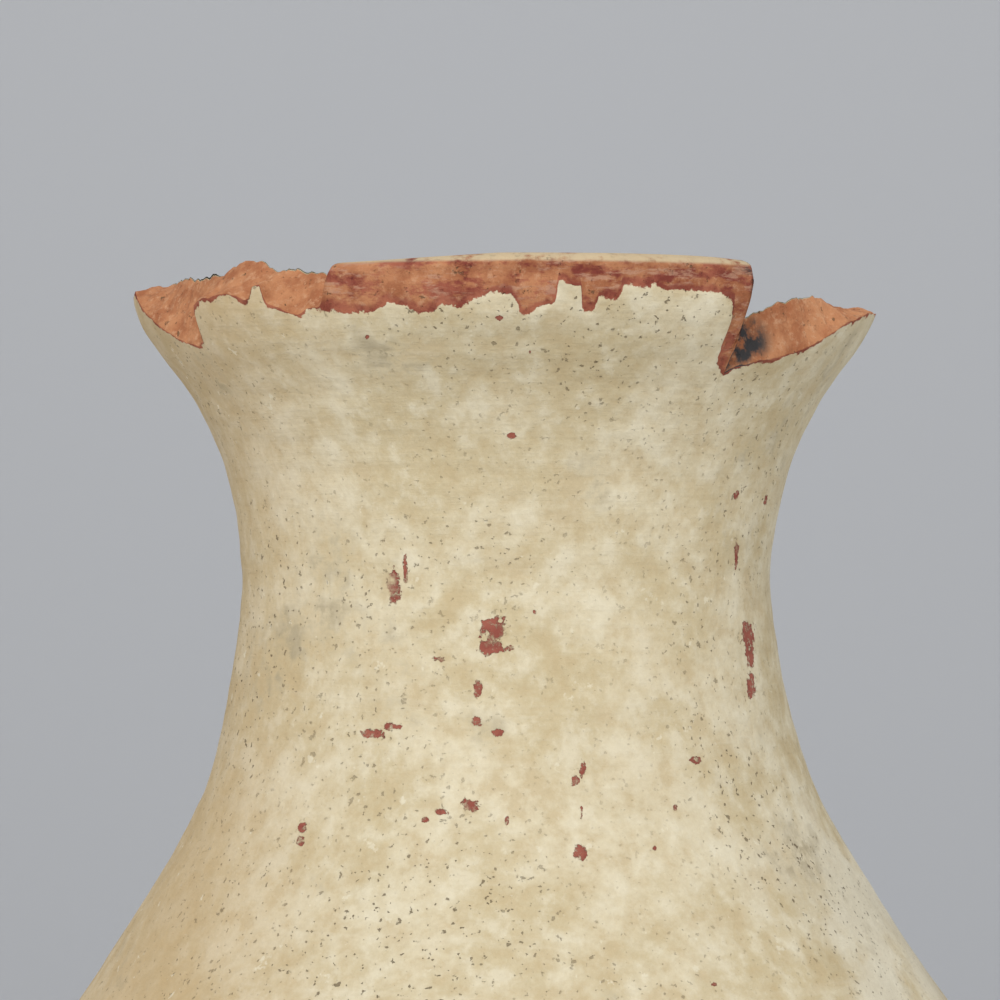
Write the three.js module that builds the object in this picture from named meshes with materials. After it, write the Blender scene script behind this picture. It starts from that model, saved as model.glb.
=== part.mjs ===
import * as THREE from "three";

// Hand-built terracotta jar with a flared, chipped mouth. Millimetres, +Z up, front at -Y.
// The origin is the centre of the resting face.

// Driving dimensions
const HEIGHT = 410;
const BASE_RADIUS = 56;
const BASE_THICKNESS = 11;
const BELLY_RADIUS = 121;
const BELLY_HEIGHT = 176;
const WAIST_RADIUS = 59.6;
const WAIST_DROP = 70.5;
const RIM_RADIUS = 84;
const WALL = 7.2;
const SLIP_THICKNESS = 0.5;
const SLIP_BED_GAP = 0.3;
const NECK_LEAN = 2.7;
const LIP_ROUNDING = 1.3;

// Heights of the level joints where one built section is luted on the next
const LOWER_JOINT = 92;
const SHOULDER_JOINT = 262;
const MOUTH_JOINT = HEIGHT - 34;

const COLUMNS = 48;
const MOUTH_COLUMNS = 72;
const ROWS = 4;
const MOUTH_ROWS = 3;

// Outer profile of the finished surface as height and radius
const PROFILE = [
  [0, BASE_RADIUS],
  [40, BASE_RADIUS + 27],
  [88, BELLY_RADIUS - 16],
  [132, BELLY_RADIUS - 4],
  [BELLY_HEIGHT, BELLY_RADIUS],
  [BELLY_HEIGHT + 36, BELLY_RADIUS - 4.2],
  [HEIGHT - 174, BELLY_RADIUS - 14.8],
  [HEIGHT - 152.5, WAIST_RADIUS + 32.1],
  [HEIGHT - 134.7, WAIST_RADIUS + 20.7],
  [HEIGHT - 116.8, WAIST_RADIUS + 10.5],
  [HEIGHT - 98.9, WAIST_RADIUS + 4.4],
  [HEIGHT - WAIST_DROP, WAIST_RADIUS],
  [HEIGHT - 54.2, WAIST_RADIUS + 1.1],
  [HEIGHT - 40.8, RIM_RADIUS - 20.2],
  [HEIGHT - 27.4, RIM_RADIUS - 13.9],
  [HEIGHT - 14, RIM_RADIUS - 4],
  [HEIGHT - 7, RIM_RADIUS - 0.6],
  [HEIGHT, RIM_RADIUS],
];

// Mouth outline round the jar: degrees from the front towards +X, then how far the inner edge,
// the outer edge and the upper edge of the pale slip lie below the full rim height
const MOUTH = [
  [-95, 3, 10, 10.8],
  [-75, 2.4, 12, 12.8],
  [-62, 1.8, 15, 15.8],
  [-54, 0.8, 8, 8.8],
  [-47, 0.1, 7, 7.8],
  [-38, 1.6, 7.5, 8.3],
  [-29, 2.2, 8.5, 9.6],
  [-25, 0.8, 1.4, 10],
  [-10, 0.9, 1.2, 10.6],
  [2, 0, 0.6, 9.5],
  [17, 0, 0.6, 6],
  [30, 0, 0.7, 6.7],
  [37, 0.4, 1.2, 11],
  [40, 8, 22.5, 23.4],
  [45, 10.4, 20.6, 21.4],
  [52, 7.7, 18.6, 19.4],
  [60, 5.6, 14, 14.8],
  [72, 7, 10.8, 11.6],
  [88, 6.8, 8.4, 9.2],
  [125, 8.2, 11, 11.8],
  [145, 3.5, 7, 8.4],
  [165, 0.4, 1.2, 7],
  [210, 0.3, 1, 8],
  [235, 2.2, 6, 9],
  [265, 3, 10, 10.8],
];
const INNER_EDGE = 1;
const OUTER_EDGE = 2;
const SLIP_EDGE = 3;

// Radius of the smooth curve through the profile at one height
function radiusAt(z) {
  const last = PROFILE.length - 1;
  const t = Math.min(Math.max(z, PROFILE[0][0]), PROFILE[last][0]);
  let i = 0;
  while (i < last - 1 && t > PROFILE[i + 1][0]) i += 1;
  const slopeAt = (k) => {
    const [a, b] = [Math.max(k - 1, 0), Math.min(k + 1, last)];
    return (PROFILE[b][1] - PROFILE[a][1]) / (PROFILE[b][0] - PROFILE[a][0]);
  };
  const span = PROFILE[i + 1][0] - PROFILE[i][0];
  const s = (t - PROFILE[i][0]) / span;
  const rise = s * s * (3 - 2 * s);
  const start = s * (1 - s) * (1 - s) * span * slopeAt(i);
  const end = s * s * (s - 1) * span * slopeAt(i + 1);
  return PROFILE[i][1] * (1 - rise) + PROFILE[i + 1][1] * rise + start + end;
}

// How much wider a level cut through a sloping wall is than the wall itself
function slant(z) {
  const step = 1;
  const slope = (radiusAt(z + step) - radiusAt(z - step)) / (2 * step);
  return Math.sqrt(1 + slope * slope);
}

const slipRadius = radiusAt;
const clayRadius = (z) => radiusAt(z) - SLIP_THICKNESS - SLIP_BED_GAP;
const innerRadius = (z) => clayRadius(z) - WALL * slant(z);

// The neck was set a little off the centre of the belly
function leanAt(z) {
  const s = THREE.MathUtils.smoothstep(z, BELLY_HEIGHT, HEIGHT - WAIST_DROP);
  return -NECK_LEAN * s;
}

// One edge height of the mouth at one angle in radians
function edgeHeight(angle, edge) {
  let degrees = THREE.MathUtils.radToDeg(angle);
  if (degrees > MOUTH[MOUTH.length - 1][0]) degrees -= 360;
  let i = 0;
  while (degrees > MOUTH[i + 1][0]) i += 1;
  const s = (degrees - MOUTH[i][0]) / (MOUTH[i + 1][0] - MOUTH[i][0]);
  return HEIGHT - (MOUTH[i][edge] * (1 - s) + MOUTH[i + 1][edge] * s);
}

// A turned solid whose outline points are functions of the angle that give radius and height.
// A closed outline returns to its first point; an open one starts and ends on the axis.
function turned(outline, columns, closed) {
  const points = outline.map((point) => new THREE.Vector2(...point(0)));
  if (closed) points.push(points[0].clone());
  const geometry = new THREE.LatheGeometry(points, columns);
  const position = geometry.attributes.position;
  for (let j = 0; j <= columns; j += 1) {
    const angle = (2 * Math.PI * (j % columns)) / columns;
    for (let i = 0; i < points.length; i += 1) {
      const [radius, z] = outline[i % outline.length](angle);
      const x = leanAt(z) + radius * Math.sin(angle);
      position.setXYZ(j * points.length + i, x, -radius * Math.cos(angle), z);
    }
  }
  geometry.computeVertexNormals();
  return geometry;
}

// Rows of outline points between two heights, each a function of the angle
function rowsBetween(radius, from, to, rows) {
  return Array.from({ length: rows + 1 }, (_, i) => (angle) => {
    const z = THREE.MathUtils.lerp(from(angle), to(angle), i / rows);
    return [radius(z), z];
  });
}

// The same solid with each face's corners in the other order, for an outline that runs up its
// inside, so that the coat's bed has the same facets as the clay under it
function facesTurnedRound(geometry) {
  const corners = geometry.index.array;
  for (let i = 0; i < corners.length; i += 3) {
    [corners[i + 1], corners[i + 2]] = [corners[i + 2], corners[i + 1]];
  }
  geometry.computeVertexNormals();
  return geometry;
}

const level = (z) => () => z;

function wallRing(bottom, top) {
  const outer = rowsBetween(clayRadius, level(bottom), level(top), ROWS);
  const inner = rowsBetween(innerRadius, level(top), level(bottom), ROWS);
  return turned([...outer, ...inner], COLUMNS, true);
}

function slipRing(bottom, top) {
  const bed = (z) => clayRadius(z) + SLIP_BED_GAP;
  const outer = rowsBetween(slipRadius, level(bottom), level(top), ROWS);
  const inner = rowsBetween(bed, level(top), level(bottom), ROWS);
  return turned([...outer, ...inner], COLUMNS, true);
}

function baseDisc() {
  const top = BASE_THICKNESS;
  const outline = [
    () => [0, 0],
    () => [clayRadius(0), 0],
    () => [clayRadius(top), top],
    () => [0, top],
  ];
  return turned(outline, COLUMNS, false);
}

function mouthWall() {
  const start = level(MOUTH_JOINT);
  const outerEdge = (angle) => edgeHeight(angle, OUTER_EDGE);
  const innerEdge = (angle) => edgeHeight(angle, INNER_EDGE);
  const slipEdge = (angle) => Math.min(edgeHeight(angle, SLIP_EDGE), outerEdge(angle) - 0.5);
  const crest = (angle) => {
    const [outer, inner] = [outerEdge(angle), innerEdge(angle)];
    const whole = 1 - THREE.MathUtils.smoothstep(inner - outer, 0.5, 3);
    const radius = (clayRadius(outer) + innerRadius(inner)) / 2;
    return [radius, (outer + inner) / 2 + LIP_ROUNDING * whole];
  };
  const outer = [
    ...rowsBetween(clayRadius, start, slipEdge, MOUTH_ROWS),
    ...rowsBetween(clayRadius, slipEdge, outerEdge, 1).slice(1),
  ];
  const inner = rowsBetween(innerRadius, innerEdge, start, MOUTH_ROWS);
  return turned([...outer, crest, ...inner], MOUTH_COLUMNS, true);
}

function mouthSlip() {
  const start = level(MOUTH_JOINT);
  const bed = (z) => clayRadius(z) + SLIP_BED_GAP;
  const edge = (angle) => {
    const limit = edgeHeight(angle, OUTER_EDGE) - 0.5;
    return Math.min(edgeHeight(angle, SLIP_EDGE), limit);
  };
  const inner = rowsBetween(bed, start, edge, MOUTH_ROWS);
  const outer = rowsBetween(slipRadius, edge, start, MOUTH_ROWS);
  return facesTurnedRound(turned([...inner, ...outer], MOUTH_COLUMNS, true));
}

const clay = { color: 0xb98662, roughness: 0.95, metalness: 0 };
const paleSlip = { color: 0xd4c8aa, roughness: 0.9, metalness: 0 };

const jar = new THREE.Group();

function addPiece(name, geometry, finish) {
  const mesh = new THREE.Mesh(geometry, new THREE.MeshStandardMaterial(finish));
  mesh.name = name;
  jar.add(mesh);
}

addPiece("base_disc", baseDisc(), clay);
addPiece("lower_wall", wallRing(BASE_THICKNESS, LOWER_JOINT), clay);
addPiece("belly_wall", wallRing(LOWER_JOINT, BELLY_HEIGHT), clay);
addPiece("shoulder_wall", wallRing(BELLY_HEIGHT, SHOULDER_JOINT), clay);
addPiece("neck_wall", wallRing(SHOULDER_JOINT, MOUTH_JOINT), clay);
addPiece("mouth_wall", mouthWall(), clay);
addPiece("belly_slip", slipRing(LOWER_JOINT, BELLY_HEIGHT), paleSlip);
addPiece("shoulder_slip", slipRing(BELLY_HEIGHT, SHOULDER_JOINT), paleSlip);
addPiece("neck_slip", slipRing(SHOULDER_JOINT, MOUTH_JOINT), paleSlip);
addPiece("mouth_slip", mouthSlip(), paleSlip);

export default jar;
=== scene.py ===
"""A weathered terracotta jar with pale slip over red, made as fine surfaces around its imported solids."""

import math

import bpy
import numpy as np
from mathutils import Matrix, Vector, noise


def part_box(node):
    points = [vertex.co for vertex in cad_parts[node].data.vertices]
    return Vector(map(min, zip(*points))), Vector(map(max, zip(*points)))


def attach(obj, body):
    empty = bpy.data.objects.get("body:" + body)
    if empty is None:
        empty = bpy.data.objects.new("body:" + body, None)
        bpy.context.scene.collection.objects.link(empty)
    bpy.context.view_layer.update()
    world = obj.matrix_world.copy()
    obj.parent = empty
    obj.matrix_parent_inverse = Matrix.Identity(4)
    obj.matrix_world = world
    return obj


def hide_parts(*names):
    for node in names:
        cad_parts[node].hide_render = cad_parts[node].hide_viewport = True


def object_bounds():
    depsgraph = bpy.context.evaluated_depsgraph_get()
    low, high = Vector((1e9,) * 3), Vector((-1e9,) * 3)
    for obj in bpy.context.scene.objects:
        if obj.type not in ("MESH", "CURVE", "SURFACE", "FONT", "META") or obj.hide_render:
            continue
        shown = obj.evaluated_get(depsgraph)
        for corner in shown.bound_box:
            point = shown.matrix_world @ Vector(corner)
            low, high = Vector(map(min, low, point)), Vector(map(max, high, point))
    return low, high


bl_info = {
    "name": "Slipped Terracotta Jar",
    "version": (1, 0, 0),
    "blender": (4, 5, 0),
    "location": "View3D > Sidebar > Jar",
    "description": "Builds a weathered terracotta jar with a chipped mouth",
    "category": "Add Mesh",
}

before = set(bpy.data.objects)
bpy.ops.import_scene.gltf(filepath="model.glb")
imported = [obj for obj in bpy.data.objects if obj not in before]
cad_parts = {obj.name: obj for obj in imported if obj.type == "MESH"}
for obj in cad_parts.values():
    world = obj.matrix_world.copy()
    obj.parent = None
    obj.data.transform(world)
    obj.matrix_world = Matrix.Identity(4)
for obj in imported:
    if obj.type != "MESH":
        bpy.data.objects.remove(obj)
CAD_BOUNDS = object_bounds()
MM = 0.001
RIM = CAD_BOUNDS[1][2] / MM

# Heights of the joints between the built sections, read from the solids
FOOT_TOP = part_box("base_disc")[1][2] / MM
LOWER_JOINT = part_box("lower_wall")[1][2] / MM
BELLY_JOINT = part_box("belly_wall")[1][2] / MM
SHOULDER_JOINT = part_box("shoulder_wall")[1][2] / MM
MOUTH_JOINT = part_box("neck_wall")[1][2] / MM

# The photograph's view: the camera is level, and one millimetre at the neck is about 4.5 pixels
IMAGE_SIZE = 1000
CAMERA_DISTANCE = 870.0
CAMERA_BELOW_RIM = 49.3
CAMERA_X = -4.3
FOCAL_PIXELS = 3893.0
FULL_RIM = 410.0
RIM_RADIUS = 84.0
NECK_LEAN = 2.7
WAIST_HEIGHT = 339.5

# Finished outer radius at heights up the jar
PROFILE_HEIGHTS = (
    0, 40, 88, 132, 176, 212, 236, 257.5, 275.3,
    293.2, 311.1, 339.5, 355.8, 369.2, 382.6, 396, 403, 410,
)
PROFILE_RADII = (
    56, 83, 105, 117, 121, 116.8, 106.2, 91.7, 80.3,
    70.1, 64, 59.6, 60.7, 63.8, 70.1, 80, 83.4, 84,
)

# The top edge of the broken mouth as seen from the front, in pixels of the photograph
TOP_EDGE = (
    (131, 286), (150, 277), (170, 276), (180, 272), (190, 275), (200, 266), (210, 261), (230, 260),
    (240, 264), (250, 268), (290, 269), (300, 271), (310, 276), (320, 267), (370, 264), (400, 262),
    (450, 259), (500, 256), (630, 256), (700, 259), (730, 261), (757, 264), (763, 292), (770, 301),
    (780, 309), (790, 314), (800, 309), (810, 306), (820, 302), (830, 297), (850, 295), (860, 297),
    (870, 305), (880, 310),
)

# The upper edge of the pale slip, in the same pixels
SLIP_EDGE = (
    (131, 294), (137, 317), (147, 333), (160, 344), (171, 348), (179, 344), (183, 325), (186, 308),
    (195, 302), (211, 298), (225, 297), (238, 302), (245, 300), (248, 288), (256, 287), (260, 306),
    (287, 317), (305, 309), (330, 308), (364, 313), (383, 302), (405, 306), (413, 311), (431, 311),
    (438, 301), (460, 304), (478, 296), (496, 295), (513, 291), (523, 316), (556, 303), (559, 281),
    (584, 284), (586, 313), (597, 313), (601, 298), (622, 299), (625, 285), (661, 285), (674, 291),
    (709, 292), (731, 296), (742, 306), (744, 344), (748, 360), (761, 375), (775, 368), (793, 362),
    (816, 359), (834, 350), (849, 337), (859, 325), (880, 313),
)

# The unseen back of the mouth: degrees from the front, and how far its two edges lie below the rim
BACK_EDGE = (
    (92, 6.8, 9.2), (125, 8.2, 11.8), (145, 3.5, 8.4), (165, 0.4, 7),
    (210, 0.3, 8), (235, 2.2, 9), (262, 3, 10),
)

# Red flecks where the pale slip has come away: pixel x and y, and pixel width and height
RED_FLECKS = (
    (512, 436, 11, 6), (393, 588, 13, 34), (405, 568, 5, 26), (495, 630, 22, 24), (492, 648, 26, 14),
    (478, 690, 8, 14), (440, 660, 16, 7), (535, 612, 5, 6), (372, 734, 18, 8), (392, 726, 18, 7),
    (475, 722, 13, 10), (498, 733, 15, 6), (582, 770, 8, 14), (576, 780, 8, 10), (582, 808, 4, 22),
    (470, 806, 14, 16), (440, 812, 14, 7), (425, 820, 6, 5), (507, 820, 4, 8), (303, 830, 9, 10),
    (301, 841, 10, 8), (580, 852, 10, 18), (737, 495, 7, 8), (766, 503, 5, 12), (737, 558, 5, 28),
    (750, 634, 16, 26), (752, 655, 14, 18), (752, 686, 14, 20), (697, 760, 12, 8), (713, 985, 9, 5),
    (675, 808, 5, 7), (655, 848, 4, 5), (500, 318, 8, 5), (530, 352, 6, 4), (367, 337, 5, 4),
)

# The clay wall, the slip coat over it, and the step where the slip ends, in millimetres
WALL = 7.2
SLIP_COAT = 0.8
SLIP_STEP = 0.35
INNER_UNEVENNESS = 1.2
INNER_SLIP_DEPTH = 26.0

# Brings the noise function to about -1 to 1
NOISE_GAIN = 1.6

# Steps that bring a pixel of the photograph and its depth into agreement
VIEW_STEPS = 60

# The base disc: its outline radii, and the height of its softened edge, in millimetres
FOOT_SOFT = 1.6
FOOT_FLAT_RADII = (0.4, 20, 40, 54.2 - FOOT_SOFT)
FOOT_EDGE = ((54.9, 0.5), (55.3, FOOT_SOFT))
FOOT_SIDE_START = 3.5
FOOT_TOP_RADII = (54, 42, 28, 14, 0.4)

# The stage in metres: how far it reaches, and each light with its place, size and share of power
STAGE_REACH = 3.0
STAGE_BACK = 1.6
STAGE_TOP = 3.2
LIGHT_TARGET = (0, 0, 0.3)
LIGHTS = (
    ("key_light", (-0.25, -1.5, 1.25), 1.0, 2.4),
    ("left_light", (-1.5, -0.5, 0.7), 1.0, 0.7),
    ("right_light", (1.5, -0.6, 0.8), 1.0, 0.9),
    ("top_light", (0.1, 0.5, 1.9), 1.2, 0.8),
)


def smooth(low, high, value):
    """Smooth step from 0 at low to 1 at high."""
    t = np.clip((value - low) / (high - low), 0, 1)
    return t * t * (3 - 2 * t)


def radius_at(z):
    """The outer radius at heights z, by a smooth curve through the profile."""
    heights, radii = np.array(PROFILE_HEIGHTS, float), np.array(PROFILE_RADII, float)
    slopes = np.gradient(radii) / np.gradient(heights)
    z = np.clip(z, heights[0], heights[-1])
    i = np.clip(np.searchsorted(heights, z) - 1, 0, len(heights) - 2)
    span = heights[i + 1] - heights[i]
    s = (z - heights[i]) / span
    rise = s * s * (3 - 2 * s)
    start = s * (1 - s) ** 2 * span * slopes[i]
    end = s * s * (s - 1) * span * slopes[i + 1]
    return radii[i] * (1 - rise) + radii[i + 1] * rise + start + end


def slant_at(z):
    slope = (radius_at(z + 1) - radius_at(z - 1)) / 2
    return np.sqrt(1 + slope * slope)


def inner_radius_at(z):
    return radius_at(z) - SLIP_COAT - WALL * slant_at(z)


def lean_at(z):
    return -NECK_LEAN * smooth(BELLY_JOINT, WAIST_HEIGHT, z)


def angle_and_drop(x, y):
    """The angle from the front, in radians, and the depth below the full rim, of a mouth pixel."""
    across = (x - IMAGE_SIZE / 2) / FOCAL_PIXELS
    angle = 0.0
    for _ in range(VIEW_STEPS):
        depth = CAMERA_DISTANCE - RIM_RADIUS * math.cos(angle)
        offset = across * depth + CAMERA_X + NECK_LEAN
        angle = math.asin(max(-1.0, min(1.0, offset / RIM_RADIUS)))
    depth = CAMERA_DISTANCE - RIM_RADIUS * math.cos(angle)
    height = (IMAGE_SIZE / 2 - y) / FOCAL_PIXELS * depth
    return angle, CAMERA_BELOW_RIM - height


def edge_curve(pixels, back_column):
    """Angles and depths all round the mouth, from the front pixels and the guessed back."""
    front = sorted(angle_and_drop(x, y) for x, y in pixels)
    back = [(math.radians(row[0]), row[back_column]) for row in BACK_EDGE]
    points = [p for p in front if math.radians(-90) <= p[0] <= math.radians(88)] + back
    angles, drops = np.array(points).T
    turn = 2 * math.pi
    return np.concatenate([angles - turn, angles, angles + turn]), np.tile(drops, 3)


TOP_CURVE = edge_curve(TOP_EDGE, 1)
SLIP_CURVE = edge_curve(SLIP_EDGE, 2)
WHOLE_LIP = (angle_and_drop(320, 267)[0], angle_and_drop(759, 264)[0])
WHOLE_BACK = (math.radians(158), math.radians(222))


def jitter(angles, scale, seed):
    """Seeded noise round the mouth, about -1 to 1, that closes on itself."""
    centre = [Vector((scale * math.cos(a), scale * math.sin(a), seed)) for a in angles]
    return np.array([noise.noise(p) for p in centre]) * NOISE_GAIN


def mouth_edges(angles):
    """Heights of the inner break, the outer break and the slip's edge, and how whole the lip is."""
    top = np.interp(angles, *TOP_CURVE)
    slip = np.interp(angles, *SLIP_CURVE)
    back = np.where(angles < 0, angles + 2 * math.pi, angles)
    edge = math.radians(1.2)
    whole = smooth(WHOLE_LIP[0] - edge, WHOLE_LIP[0] + edge, angles)
    whole *= 1 - smooth(WHOLE_LIP[1] - edge / 2, WHOLE_LIP[1] + edge / 2, angles)
    behind = smooth(WHOLE_BACK[0] - edge, WHOLE_BACK[0] + edge, back)
    behind *= 1 - smooth(WHOLE_BACK[1] - edge, WHOLE_BACK[1] + edge, back)
    whole = np.maximum(whole, behind)
    rough = 0.55 * jitter(angles, 24, 1) + 0.3 * jitter(angles, 70, 2)
    top = top + (1 - whole) * rough
    outer = whole * (top + 0.9) + (1 - whole) * np.maximum(slip - 0.5 + 0.5 * rough, top + 1.0)
    return FULL_RIM - top, FULL_RIM - outer, FULL_RIM - slip, whole


def surface_noise(points, scale, seed):
    """Seeded noise on an array of points in millimetres, about -1 to 1."""
    shifted = points * (1.0 / scale) + seed * 17.3
    values = np.array([noise.noise(Vector(p)) for p in shifted.reshape(-1, 3)])
    return values.reshape(points.shape[:-1]) * NOISE_GAIN


def place(radius, z, angles):
    x = lean_at(z) + radius * np.sin(angles)
    return np.stack([x, -radius * np.cos(angles), z + 0 * angles], axis=-1)


def hand_shaped(radius, z, angles, depth):
    """A grid of points with the slow unevenness and the wiping marks of a hand-built wall."""
    points = place(radius, z, angles)
    slow = surface_noise(points, 46, 3)
    lumps = surface_noise(points, 11, 5)
    wiped = surface_noise(points * np.array([0.25, 0.25, 2.2]), 9, 7)
    mark = depth * (0.55 * slow + 0.16 * lumps + 0.10 * wiped - 0.7)
    return place(radius + mark, z, angles)


def ring_normals(rows, grid):
    """Normals of the rows' points; a row that ends at a joint looks past it, so no line shows there."""
    before, after = np.roll(grid, 1, 0), np.roll(grid, -1, 0)
    for i, made in enumerate(rows):
        if made["beyond"] is not None:
            (after if made["cap"] else before)[i] = made["beyond"]
    around_jar = np.roll(grid, -1, 1) - np.roll(grid, 1, 1)
    normals = np.cross(around_jar, after - before)
    return normals / np.maximum(np.linalg.norm(normals, axis=-1, keepdims=True), 1e-9)


def ring_mesh(name, rows):
    """One closed mesh from rows of points round the jar; each row is an array of columns by 3."""
    grid = np.stack([r["points"] for r in rows])
    count, columns = grid.shape[:2]
    index = np.arange(count * columns).reshape(count, columns)
    above = np.roll(index, -1, 0)
    quads = np.stack([index, np.roll(index, -1, 1), np.roll(above, -1, 1), above], axis=-1)
    mesh = bpy.data.meshes.new(name)
    mesh.from_pydata((grid.reshape(-1, 3) * MM).tolist(), [], quads.reshape(-1, 4).tolist())
    for key in ("cover", "whole", "inside", "charred"):
        values = np.stack([np.broadcast_to(r[key], columns) for r in rows])
        layer = mesh.attributes.new(key, "FLOAT", "POINT")
        layer.data.foreach_set("value", values.reshape(-1).astype(np.float32))
    corners = ring_normals(rows, grid).reshape(-1, 3)[quads]
    flat_points = grid.reshape(-1, 3)
    flat = np.cross(flat_points[quads[..., 1]] - grid, flat_points[quads[..., 3]] - grid)
    flat /= np.maximum(np.linalg.norm(flat, axis=-1, keepdims=True), 1e-9)
    for i, made in enumerate(rows):
        if made["cap"]:
            corners[i] = flat[i][:, None, :]
    mesh.normals_split_custom_set(corners.reshape(-1, 3).tolist())
    mesh.update()
    piece = bpy.data.objects.new(name, mesh)
    bpy.context.scene.collection.objects.link(piece)
    return piece


def row(points, cover, inside=0.0, whole=0.0, charred=0.0):
    """One ring of points with its marks; a cap row starts a flat joint face."""
    marks = {"cover": cover, "inside": inside, "whole": whole, "charred": charred}
    return {"points": points, "cap": False, "beyond": None, **marks}


def around(columns):
    return np.linspace(-math.pi, math.pi, columns, endpoint=False)


def level_row(radius, z, angles, depth):
    """The points of one level ring of a plain wall."""
    level = np.full(len(angles), z)
    return hand_shaped(radius(level), level, angles, depth * smooth(0, 14, z - FOOT_TOP))


def wall_rows(low, high, columns, outer_step, inner_step, foot_edge=None):
    """Rows up the outside and down the inside of a plain wall section."""
    angles = around(columns)
    rows = []
    for z in np.linspace(low, high, max(4, round((high - low) / outer_step)) + 1):
        cover = 30.0
        if foot_edge is not None:
            cover = np.clip(z - foot_edge - 5 * jitter(angles, 3, 4), -30, 30)
        rows.append(row(level_row(radius_at, z, angles, 1.0), cover))
    rows[0]["beyond"] = level_row(radius_at, low - outer_step, angles, 1.0)
    rows[-1]["beyond"] = level_row(radius_at, high + outer_step, angles, 1.0)
    rows[-1]["cap"] = True
    first_inner = len(rows)
    for z in np.linspace(high, low, max(4, round((high - low) / inner_step)) + 1):
        points = level_row(inner_radius_at, z, angles, INNER_UNEVENNESS)
        rows.append(row(points, z - FULL_RIM + INNER_SLIP_DEPTH, inside=1.0))
    rows[first_inner]["beyond"] = level_row(inner_radius_at, high + inner_step, angles, INNER_UNEVENNESS)
    rows[-1]["beyond"] = level_row(inner_radius_at, low - inner_step, angles, INNER_UNEVENNESS)
    rows[-1]["cap"] = True
    return rows


def mouth_rows(columns, outer_rows, top_rows, inner_rows):
    """Rows up the flare, over the lip or the break, and down the inside."""
    angles = around(columns)
    inner_edge, outer_edge, slip_edge, whole = mouth_edges(angles)
    notch = np.exp(-(((angles - angle_and_drop(772, 325)[0]) / math.radians(6.5)) ** 2))
    rows = []
    for s in np.linspace(0, 1, outer_rows + 1):
        z = MOUTH_JOINT + s * (outer_edge - MOUTH_JOINT)
        points = hand_shaped(radius_at(z), z, angles, np.ones(columns))
        away = smooth(0, 2.5, outer_edge - z)
        step = SLIP_STEP * (1 - smooth(-0.6, 0.3, slip_edge - z)) * away
        radial = place(np.ones(columns), z, angles) - place(np.zeros(columns), z, angles)
        points = points - step[:, None] * radial
        rows.append(row(points, slip_edge - z, whole=whole, charred=notch * (1 - away)))
    rows[0]["beyond"] = level_row(radius_at, MOUTH_JOINT - 1, angles, 1.0)
    start = rows[-1]["points"]
    end = hand_shaped(inner_radius_at(inner_edge), inner_edge, angles, INNER_UNEVENNESS)
    for k in range(1, top_rows):
        s = k / top_rows
        points = start * (1 - s) + end * s
        rounding = 1.5 * whole * (1 - (2 * s - 1) ** 2) ** 0.5
        grit = surface_noise(points, 3.2, 11) + 0.5 * surface_noise(points, 1.3, 12)
        coarse = surface_noise(points, 7.5, 13)
        broken = (1 - whole) * math.sin(math.pi * s) ** 0.6
        lift = rounding + broken * (0.42 * grit + 0.75 * coarse)
        points = points + np.stack([np.zeros(columns), np.zeros(columns), lift], axis=-1)
        points[:, 2] = np.minimum(points[:, 2], RIM)
        hollow = notch * math.sin(math.pi * s) ** 0.5
        rows.append(row(points, -6.0 - 6 * s + whole * 12 * s, whole=whole, charred=hollow))
    for s in np.linspace(0, 1, inner_rows + 1):
        z = inner_edge + s * (MOUTH_JOINT - inner_edge)
        points = hand_shaped(inner_radius_at(z), z, angles, INNER_UNEVENNESS)
        rows.append(row(points, z - FULL_RIM + INNER_SLIP_DEPTH, inside=1.0, whole=whole))
    rows[-1]["beyond"] = level_row(inner_radius_at, MOUTH_JOINT - 1, angles, INNER_UNEVENNESS)
    rows[-1]["cap"] = True
    return rows


def linear(colour):
    """A colour as written in 0 to 255 display values, as the linear one that shaders take."""
    parts = [c / 255 for c in colour]
    return tuple(c / 12.92 if c <= 0.04045 else ((c + 0.055) / 1.055) ** 2.4 for c in parts) + (1.0,)


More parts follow.
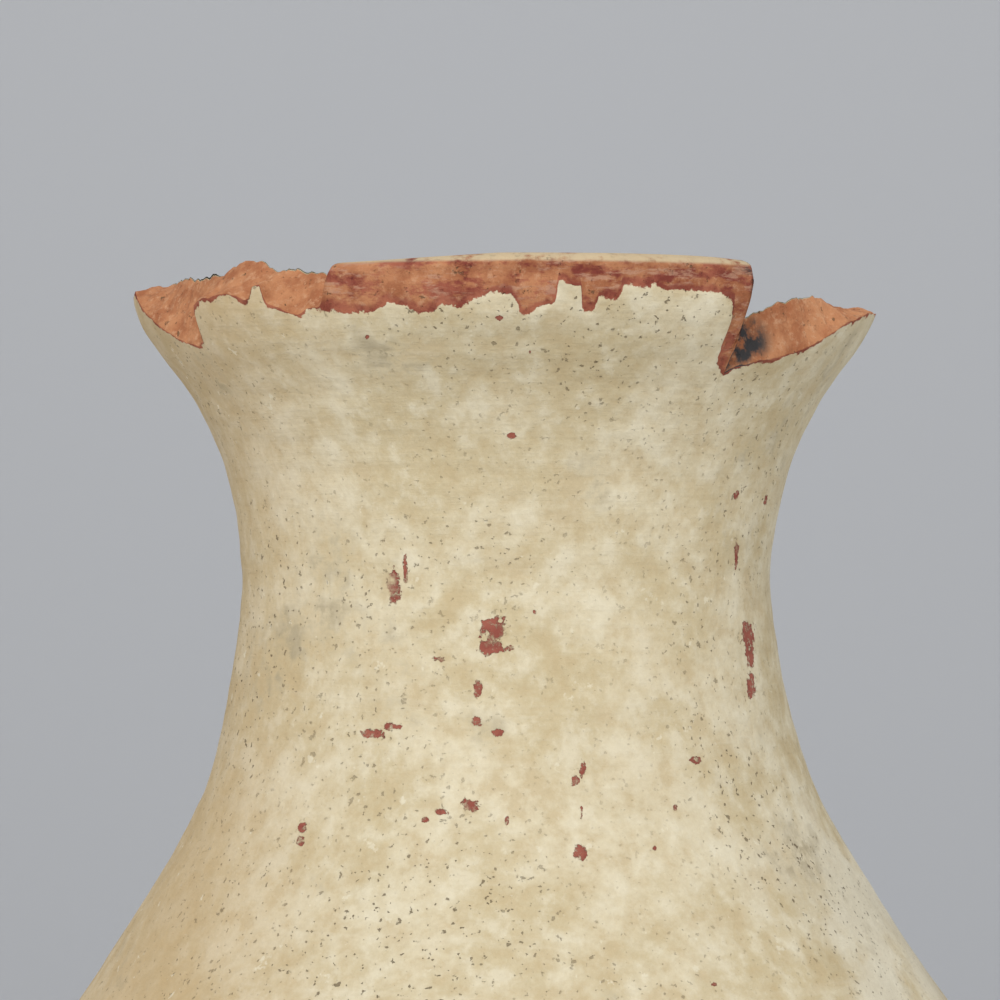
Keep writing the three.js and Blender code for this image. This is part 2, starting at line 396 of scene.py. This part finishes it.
class Finish:
    """A material and the few steps that its layers are made of."""

    def __init__(self, name):
        self.material = bpy.data.materials.new(name)
        self.material.use_nodes = True
        self.tree = self.material.node_tree
        self.shader = self.tree.nodes["Principled BSDF"]
        self.place = self.add("ShaderNodeTexCoord").outputs["Object"]

    def add(self, kind, **settings):
        made = self.tree.nodes.new(kind)
        for key, value in settings.items():
            setattr(made, key, value)
        return made

    def put(self, socket, value):
        if isinstance(value, bpy.types.NodeSocket):
            self.tree.links.new(value, socket)
        else:
            socket.default_value = value

    def math(self, operation, first, second=0.0):
        made = self.add("ShaderNodeMath", operation=operation)
        self.put(made.inputs[0], first)
        self.put(made.inputs[1], second)
        return made.outputs[0]

    def noise(self, scale, detail=4.0, rough=0.55, stretch=None, shift=0.0):
        made = self.add("ShaderNodeTexNoise")
        made.inputs["Scale"].default_value = scale
        made.inputs["Detail"].default_value = detail
        made.inputs["Roughness"].default_value = rough
        moved = self.add("ShaderNodeMapping")
        moved.inputs["Location"].default_value = (shift, shift * 0.7, shift * 1.3)
        moved.inputs["Scale"].default_value = stretch or (1, 1, 1)
        self.tree.links.new(self.place, moved.inputs["Vector"])
        self.tree.links.new(moved.outputs[0], made.inputs["Vector"])
        return made.outputs["Fac"]

    def between(self, value, low, high):
        made = self.add("ShaderNodeMapRange", interpolation_type="SMOOTHSTEP")
        self.put(made.inputs["Value"], value)
        made.inputs["From Min"].default_value = low
        made.inputs["From Max"].default_value = high
        return made.outputs["Result"]

    def mix(self, factor, first, second):
        made = self.add("ShaderNodeMix", data_type="RGBA")
        self.put(made.inputs[0], factor)
        self.put(made.inputs[6], first)
        self.put(made.inputs[7], second)
        return made.outputs[2]

    def attribute(self, name):
        return self.add("ShaderNodeAttribute", attribute_name=name).outputs["Fac"]

    def bump(self, height, distance, below=None):
        made = self.add("ShaderNodeBump")
        made.inputs["Strength"].default_value = 1.0
        made.inputs["Distance"].default_value = distance
        self.put(made.inputs["Height"], height)
        if below is not None:
            self.tree.links.new(below, made.inputs["Normal"])
        return made.outputs["Normal"]


def pixel_on_jar(x, y):
    """The point of the outer wall, in metres, that a pixel of the photograph shows."""
    across = (x - IMAGE_SIZE / 2) / FOCAL_PIXELS
    up = (IMAGE_SIZE / 2 - y) / FOCAL_PIXELS
    depth = CAMERA_DISTANCE - RIM_RADIUS
    for _ in range(VIEW_STEPS):
        z = FULL_RIM - CAMERA_BELOW_RIM + up * depth
        radius = float(radius_at(np.array([z]))[0])
        offset = across * depth + CAMERA_X - float(lean_at(np.array([z]))[0])
        depth = CAMERA_DISTANCE - math.sqrt(max(radius**2 - offset**2, 0.0))
    return Vector((across * depth + CAMERA_X, depth - CAMERA_DISTANCE, z)) * MM, depth


def fleck_distance(finish, wander):
    """How far inside the nearest red fleck a point is, above 0 within it."""
    nearest = None
    for x, y, width, height in RED_FLECKS:
        centre, depth = pixel_on_jar(x, y)
        size = depth / FOCAL_PIXELS * MM / 2
        apart = finish.add("ShaderNodeVectorMath", operation="SUBTRACT")
        finish.tree.links.new(finish.place, apart.inputs[0])
        apart.inputs[1].default_value = centre
        scaled = finish.add("ShaderNodeVectorMath", operation="MULTIPLY")
        finish.tree.links.new(apart.outputs[0], scaled.inputs[0])
        scaled.inputs[1].default_value = (1 / (width * size), 0.35 / (width * size), 1 / (height * size))
        length = finish.add("ShaderNodeVectorMath", operation="LENGTH")
        finish.tree.links.new(scaled.outputs[0], length.inputs[0])
        here = length.outputs["Value"]
        nearest = here if nearest is None else finish.math("MINIMUM", nearest, here)
    return finish.math("SUBTRACT", finish.math("ADD", 1.0, wander), nearest)


def jar_finish(name, colours, with_flecks):
    """Pale slip over red slip over clay, as one layered material driven by the mesh's own marks."""
    f = Finish(name)
    cover, whole = f.attribute("cover"), f.attribute("whole")
    inside, charred = f.attribute("inside"), f.attribute("charred")

    broad = f.noise(11, 3, 0.5)
    clouds = f.noise(38, 5, 0.6, shift=0.3)
    mottle = f.noise(150, 6, 0.65, shift=0.7)
    grain = f.noise(620, 5, 0.7, shift=1.1)
    wiped = f.noise(90, 4, 0.6, stretch=(0.25, 0.25, 3.2), shift=0.9)

    slip = f.mix(f.between(clouds, 0.38, 0.62), linear(colours.slip_tan), linear(colours.slip_pale))
    slip = f.mix(f.math("MULTIPLY", f.between(mottle, 0.48, 0.66), 0.55), slip, linear(colours.slip_white))
    slip = f.mix(f.math("MULTIPLY", f.between(mottle, 0.52, 0.34), 0.5), slip, linear(colours.slip_stain))
    slip = f.mix(f.math("MULTIPLY", f.between(wiped, 0.55, 0.75), 0.25), slip, linear(colours.slip_white))
    slip = f.mix(f.math("MULTIPLY", f.between(broad, 0.52, 0.66), 0.35), slip, linear(colours.slip_stain))

    parts = f.add("ShaderNodeSeparateXYZ")
    f.tree.links.new(f.place, parts.inputs[0])
    # Painted shade: the slip turns a darker tan towards the jar's left side, standing in for the shade
    # that falls there
    left = f.between(parts.outputs["X"], -0.028, -0.075)
    slip = f.mix(f.math("MULTIPLY", left, 0.5), slip, linear(colours.left_flank_painted_shade))
    right = f.between(parts.outputs["X"], 0.03, 0.075)
    low = f.between(parts.outputs["Z"], 0.33, 0.27)
    bloom = f.math("MULTIPLY", f.math("MULTIPLY", right, low), f.between(clouds, 0.4, 0.6))
    slip = f.mix(f.math("MULTIPLY", bloom, 0.7), slip, linear(colours.bloom))
    # Darker grey brown patches towards the jar's right side
    right_side_darkening = f.math("MULTIPLY", right, f.between(broad, 0.45, 0.6))
    slip = f.mix(f.math("MULTIPLY", right_side_darkening, 0.3), slip, linear(colours.smudge))

    smudge = f.between(f.noise(27, 5, 0.62, shift=2.1), 0.58, 0.7)
    smudge = f.math("MULTIPLY", smudge, f.between(mottle, 0.42, 0.6))
    slip = f.mix(f.math("MULTIPLY", smudge, 0.65), slip, linear(colours.smudge))
    density = f.between(f.noise(17, 3, 0.5, shift=3.3), 0.38, 0.68)
    specks = f.between(f.noise(560, 3, 0.6, shift=4.2), 0.655, 0.71)
    tiny = f.between(f.noise(820, 2, 0.5, shift=5.2), 0.67, 0.72)
    crowding = f.math("ADD", 0.25, f.math("MULTIPLY", density, 0.75))
    dark = f.math("MULTIPLY", f.math("MAXIMUM", specks, tiny), crowding)
    slip = f.mix(f.math("MULTIPLY", dark, 0.75), slip, linear(colours.speck))
    flakes = f.between(f.noise(240, 4, 0.6, shift=6.1), 0.66, 0.71)
    slip = f.mix(f.math("MULTIPLY", flakes, 0.6), slip, linear(colours.slip_white))
    slip = f.mix(f.math("MULTIPLY", f.between(grain, 0.3, 0.7), 0.12), slip, linear(colours.smudge))

    clay = f.mix(f.between(mottle, 0.36, 0.64), linear(colours.clay_deep), linear(colours.clay))
    clay = f.mix(f.math("MULTIPLY", f.between(grain, 0.5, 0.68), 0.55), clay, linear(colours.clay_pale))
    clay = f.mix(f.math("MULTIPLY", specks, 0.7), clay, linear(colours.speck))
    char = f.math("MULTIPLY", charred, f.between(mottle, 0.25, 0.6))
    clay = f.mix(f.between(char, 0.12, 0.5), clay, linear(colours.charcoal))

    red = f.mix(f.between(mottle, 0.4, 0.6), linear(colours.red_deep), linear(colours.red))
    worn = f.between(f.noise(130, 6, 0.7, stretch=(1, 1, 2.2), shift=7.7), 0.40, 0.54)
    lip = f.mix(f.math("MULTIPLY", worn, 0.9), red, clay)
    rubbed = f.between(f.noise(210, 6, 0.7, stretch=(0.6, 0.6, 2.6), shift=8.1), 0.52, 0.62)
    lip = f.mix(f.math("MULTIPLY", rubbed, 0.7), lip, linear(colours.lip_dust))
    crown = f.math("MULTIPLY", f.between(parts.outputs["Z"], 0.4088, 0.4096), f.between(mottle, 0.34, 0.5))
    lip = f.mix(f.math("MULTIPLY", crown, 0.8), lip, linear(colours.slip_tan))

    ragged = f.math("SUBTRACT", f.noise(260, 5, 0.65, shift=8.8), 0.5)
    ragged = f.math("ADD", f.math("MULTIPLY", ragged, 5.0), cover)
    slipped = f.between(ragged, -0.15, 0.15)
    band = f.math("MULTIPLY", f.between(ragged, -2.2, -0.9), f.math("SUBTRACT", 1.0, inside))
    bare = f.mix(whole, clay, lip)
    bare = f.mix(f.math("MULTIPLY", band, 0.85), bare, red)
    colour = f.mix(slipped, bare, slip)

    height_step = slipped
    if with_flecks:
        wander = f.math("MULTIPLY", f.math("SUBTRACT", f.noise(330, 5, 0.7, shift=9.4), 0.5), 4.2)
        fleck = f.between(fleck_distance(f, wander), -0.05, 0.12)
        fleck = f.math("MULTIPLY", fleck, f.between(mottle, 0.3, 0.46))
        fleck = f.math("MULTIPLY", fleck, f.between(grain, 0.3, 0.5))
        depth = f.between(mottle, 0.35, 0.6)
        fleck_colour = f.mix(depth, linear(colours.fleck_deep), linear(colours.fleck))
        colour = f.mix(fleck, colour, fleck_colour)
        height_step = f.math("SUBTRACT", slipped, fleck)

    dusty = f.mix(f.math("MULTIPLY", inside, 0.25), colour, linear(colours.smudge))
    f.put(f.shader.inputs["Base Color"], dusty)
    rough = f.math("ADD", 0.78, f.math("MULTIPLY", grain, 0.16))
    f.put(f.shader.inputs["Roughness"], rough)
    f.shader.inputs["Specular IOR Level"].default_value = 0.22

    relief = f.bump(height_step, 0.00030)
    relief = f.bump(mottle, 0.00055, relief)
    relief = f.bump(f.math("SUBTRACT", 1.0, dark), 0.00025, relief)
    relief = f.bump(wiped, 0.00035, relief)
    grit = f.math("ADD", 0.35, f.math("MULTIPLY", f.math("SUBTRACT", 1.0, slipped), 0.9))
    relief = f.bump(f.math("MULTIPLY", grain, grit), 0.00030, relief)
    f.put(f.shader.inputs["Normal"], relief)
    return f.material


def colour_setting(name, description, default):
    return bpy.props.IntVectorProperty(
        name=name, description=description, default=default, min=0, max=255, size=3
    )


class JarColours(bpy.types.PropertyGroup):
    """Display colours of the jar's layers, 0 to 255."""

    slip_pale: colour_setting("Pale slip", "Main colour of the slip", (217, 204, 173))
    slip_tan: colour_setting("Tan slip", "Warmer clouds in the slip", (203, 187, 151))
    slip_white: colour_setting("White slip", "Thicker, paler slip", (229, 220, 195))
    slip_stain: colour_setting("Stain", "Yellow brown stain", (190, 167, 125))
    # Painted shade colour: the darker tan laid on the left flank is shade that falls there, not a stain
    left_flank_painted_shade: colour_setting("Warm flank", "Tan stain of the left flank", (190, 160, 116))
    bloom: colour_setting("Bloom", "Whitish mineral bloom", (228, 221, 200))
    smudge: colour_setting("Smudge", "Grey brown smudge", (156, 141, 111))
    speck: colour_setting("Speck", "Dark specks and pits", (92, 76, 52))
    clay: colour_setting("Clay", "Fired clay", (190, 132, 92))
    clay_deep: colour_setting("Deep clay", "Darker clay", (160, 100, 66))
    clay_pale: colour_setting("Pale clay", "Dusty clay", (206, 160, 124))
    lip_dust: colour_setting("Lip dust", "Pinkish rubbed lip", (186, 142, 116))
    charcoal: colour_setting("Charcoal", "Unburnt dark core", (62, 60, 60))
    red: colour_setting("Red slip", "Worn red slip", (160, 92, 70))
    red_deep: colour_setting("Deep red slip", "Fresh red slip", (124, 58, 47))
    fleck: colour_setting("Fleck", "Red seen through the slip", (158, 92, 76))
    fleck_deep: colour_setting("Deep fleck", "Darker red seen through", (128, 60, 52))


class JarSizes(bpy.types.PropertyGroup):
    """Sizes that a user may change without moving the solids."""

    foot_edge: bpy.props.FloatProperty(
        name="Foot edge", description="Height at which the slip ends, in millimetres",
        default=20.0, min=12.0, max=60.0
    )
    mouth_columns: bpy.props.IntProperty(
        name="Mouth columns", description="Faces round the mouth", default=800, min=120, max=900
    )
    wall_columns: bpy.props.IntProperty(
        name="Wall columns", description="Faces round the walls", default=520, min=96, max=800
    )
    key_power: bpy.props.FloatProperty(
        name="Key light", description="Power of the large front light", default=9.0, unit="POWER"
    )


def dress(piece, nodes, finish):
    piece.data.materials.append(finish)
    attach(piece, "root")
    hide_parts(*nodes)


def shared_finish(with_flecks):
    name = "slip_with_flecks" if with_flecks else "slip_and_clay"
    found = bpy.data.materials.get(name)
    return found or jar_finish(name, bpy.context.scene.jar_colours, with_flecks)


class JarPiece:
    bl_options = {"REGISTER", "UNDO"}

    def execute(self, context):
        self.build(context.scene.jar_sizes)
        return {"FINISHED"}


class JAR_OT_base_disc(JarPiece, bpy.types.Operator):
    """The flat disc of clay that the jar stands on"""

    bl_idname = "jar.base_disc"
    bl_label = "Base disc"

    def build(self, sizes):
        columns = sizes.wall_columns
        angles = around(columns)
        outline = [(r, 0.0) for r in FOOT_FLAT_RADII] + list(FOOT_EDGE)
        sides = np.linspace(FOOT_SIDE_START, FOOT_TOP, 8)
        outline += [(float(radius_at(np.array([z]))[0]), z) for z in sides]
        outline += [(r, FOOT_TOP) for r in FOOT_TOP_RADII]
        rows = []
        for radius, z in outline:
            points = place(np.full(columns, float(radius)), np.full(columns, z), angles)
            rows.append(row(points, -20.0))
        piece = ring_mesh("base_disc_clay", rows)
        dress(piece, ["base_disc"], shared_finish(False))


class JAR_OT_lower_wall(JarPiece, bpy.types.Operator):
    """The first wall section over the foot"""

    bl_idname = "jar.lower_wall"
    bl_label = "Lower wall"

    def build(self, sizes):
        rows = wall_rows(FOOT_TOP, LOWER_JOINT, sizes.wall_columns, 1.6, 3.0, foot_edge=sizes.foot_edge)
        piece = ring_mesh("lower_wall_slipped", rows)
        dress(piece, ["lower_wall"], shared_finish(False))


class JAR_OT_belly_wall(JarPiece, bpy.types.Operator):
    """The widest section"""

    bl_idname = "jar.belly_wall"
    bl_label = "Belly wall"

    def build(self, sizes):
        rows = wall_rows(LOWER_JOINT, BELLY_JOINT, sizes.wall_columns, 1.5, 3.0)
        piece = ring_mesh("belly_wall_slipped", rows)
        dress(piece, ["belly_wall", "belly_slip"], shared_finish(False))


class JAR_OT_shoulder_wall(JarPiece, bpy.types.Operator):
    """The section that draws in over the belly"""

    bl_idname = "jar.shoulder_wall"
    bl_label = "Shoulder wall"

    def build(self, sizes):
        rows = wall_rows(BELLY_JOINT, SHOULDER_JOINT, sizes.wall_columns, 1.1, 2.4)
        piece = ring_mesh("shoulder_wall_slipped", rows)
        dress(piece, ["shoulder_wall", "shoulder_slip"], shared_finish(True))


class JAR_OT_neck_wall(JarPiece, bpy.types.Operator):
    """The waisted neck"""

    bl_idname = "jar.neck_wall"
    bl_label = "Neck wall"

    def build(self, sizes):
        rows = wall_rows(SHOULDER_JOINT, MOUTH_JOINT, sizes.wall_columns, 1.0, 2.2)
        piece = ring_mesh("neck_wall_slipped", rows)
        dress(piece, ["neck_wall", "neck_slip"], shared_finish(True))


class JAR_OT_mouth_wall(JarPiece, bpy.types.Operator):
    """The flared mouth with its whole lip and its broken edge"""

    bl_idname = "jar.mouth_wall"
    bl_label = "Mouth wall"

    def build(self, sizes):
        piece = ring_mesh("mouth_wall_slipped", mouth_rows(sizes.mouth_columns, 56, 26, 30))
        dress(piece, ["mouth_wall", "mouth_slip"], shared_finish(True))


def plain_material(name, colour, roughness):
    material = bpy.data.materials.new(name)
    material.use_nodes = True
    shader = material.node_tree.nodes["Principled BSDF"]
    shader.inputs["Base Color"].default_value = linear(colour)
    shader.inputs["Roughness"].default_value = roughness
    return material


def stage_plane(name, corners, material):
    mesh = bpy.data.meshes.new(name)
    mesh.from_pydata(corners, [], [(0, 1, 2, 3)])
    mesh.materials.append(material)
    plane = bpy.data.objects.new(name, mesh)
    bpy.context.scene.collection.objects.link(plane)


def area_light(name, location, target, size, power):
    data = bpy.data.lights.new(name, "AREA")
    data.shape = "SQUARE"
    data.size = size
    data.energy = power
    light = bpy.data.objects.new(name, data)
    light.location = location
    light.rotation_euler = (Vector(target) - Vector(location)).to_track_quat("-Z", "Y").to_euler()
    bpy.context.scene.collection.objects.link(light)


class JAR_OT_stage(bpy.types.Operator):
    """The camera, the soft lights and a plain pale floor and backdrop"""

    bl_idname = "jar.stage"
    bl_label = "Stage"

    def execute(self, context):
        scene = context.scene
        scene.view_settings.view_transform = "Standard"
        pale = plain_material("pale_paper", (205, 206, 208), 0.9)
        reach, back, top = STAGE_REACH, STAGE_BACK, STAGE_TOP
        floor = [(-reach, -reach, 0), (reach, -reach, 0), (reach, back, 0), (-reach, back, 0)]
        stage_plane("floor", floor, pale)
        wall = [(-reach, back, 0), (reach, back, 0), (reach, back, top), (-reach, back, top)]
        stage_plane("backdrop", wall, pale)
        for name, location, size, share in LIGHTS:
            area_light(name, location, LIGHT_TARGET, size, scene.jar_sizes.key_power * share)
        world = bpy.data.worlds.new("soft_room")
        scene.world = world
        world.use_nodes = True
        background = world.node_tree.nodes["Background"]
        background.inputs["Color"].default_value = linear((214, 218, 224))
        background.inputs["Strength"].default_value = 0.35
        data = bpy.data.cameras.new("camera")
        data.sensor_width = 36.0
        data.lens = FOCAL_PIXELS / IMAGE_SIZE * data.sensor_width
        data.clip_end = 20
        camera = bpy.data.objects.new("camera", data)
        height = (FULL_RIM - CAMERA_BELOW_RIM) * MM
        camera.location = (CAMERA_X * MM, -CAMERA_DISTANCE * MM, height)
        camera.rotation_euler = (math.radians(90), 0, 0)
        scene.collection.objects.link(camera)
        scene.camera = camera
        return {"FINISHED"}


class JAR_PT_panel(bpy.types.Panel):
    """Lists the jar's pieces in the sidebar"""

    bl_idname = "JAR_PT_panel"
    bl_label = "Jar"
    bl_space_type = "VIEW_3D"
    bl_region_type = "UI"
    bl_category = "Jar"

    def draw(self, context):
        for operator in OPERATORS:
            self.layout.operator(operator.bl_idname)
        for group in (context.scene.jar_sizes, context.scene.jar_colours):
            for name in group.__annotations__:
                self.layout.prop(group, name)


OPERATORS = (
    JAR_OT_base_disc,
    JAR_OT_lower_wall,
    JAR_OT_belly_wall,
    JAR_OT_shoulder_wall,
    JAR_OT_neck_wall,
    JAR_OT_mouth_wall,
    JAR_OT_stage,
)
CLASSES = (JarColours, JarSizes, *OPERATORS, JAR_PT_panel)


def register():
    for made in CLASSES:
        bpy.utils.register_class(made)
    bpy.types.Scene.jar_colours = bpy.props.PointerProperty(type=JarColours)
    bpy.types.Scene.jar_sizes = bpy.props.PointerProperty(type=JarSizes)


def unregister():
    del bpy.types.Scene.jar_sizes
    del bpy.types.Scene.jar_colours
    for made in reversed(CLASSES):
        bpy.utils.unregister_class(made)


def main():
    register()
    bpy.ops.jar.base_disc()
    bpy.ops.jar.lower_wall()
    bpy.ops.jar.belly_wall()
    bpy.ops.jar.shoulder_wall()
    bpy.ops.jar.neck_wall()
    bpy.ops.jar.mouth_wall()
    bpy.ops.jar.stage()


if __name__ == "__main__":
    main()
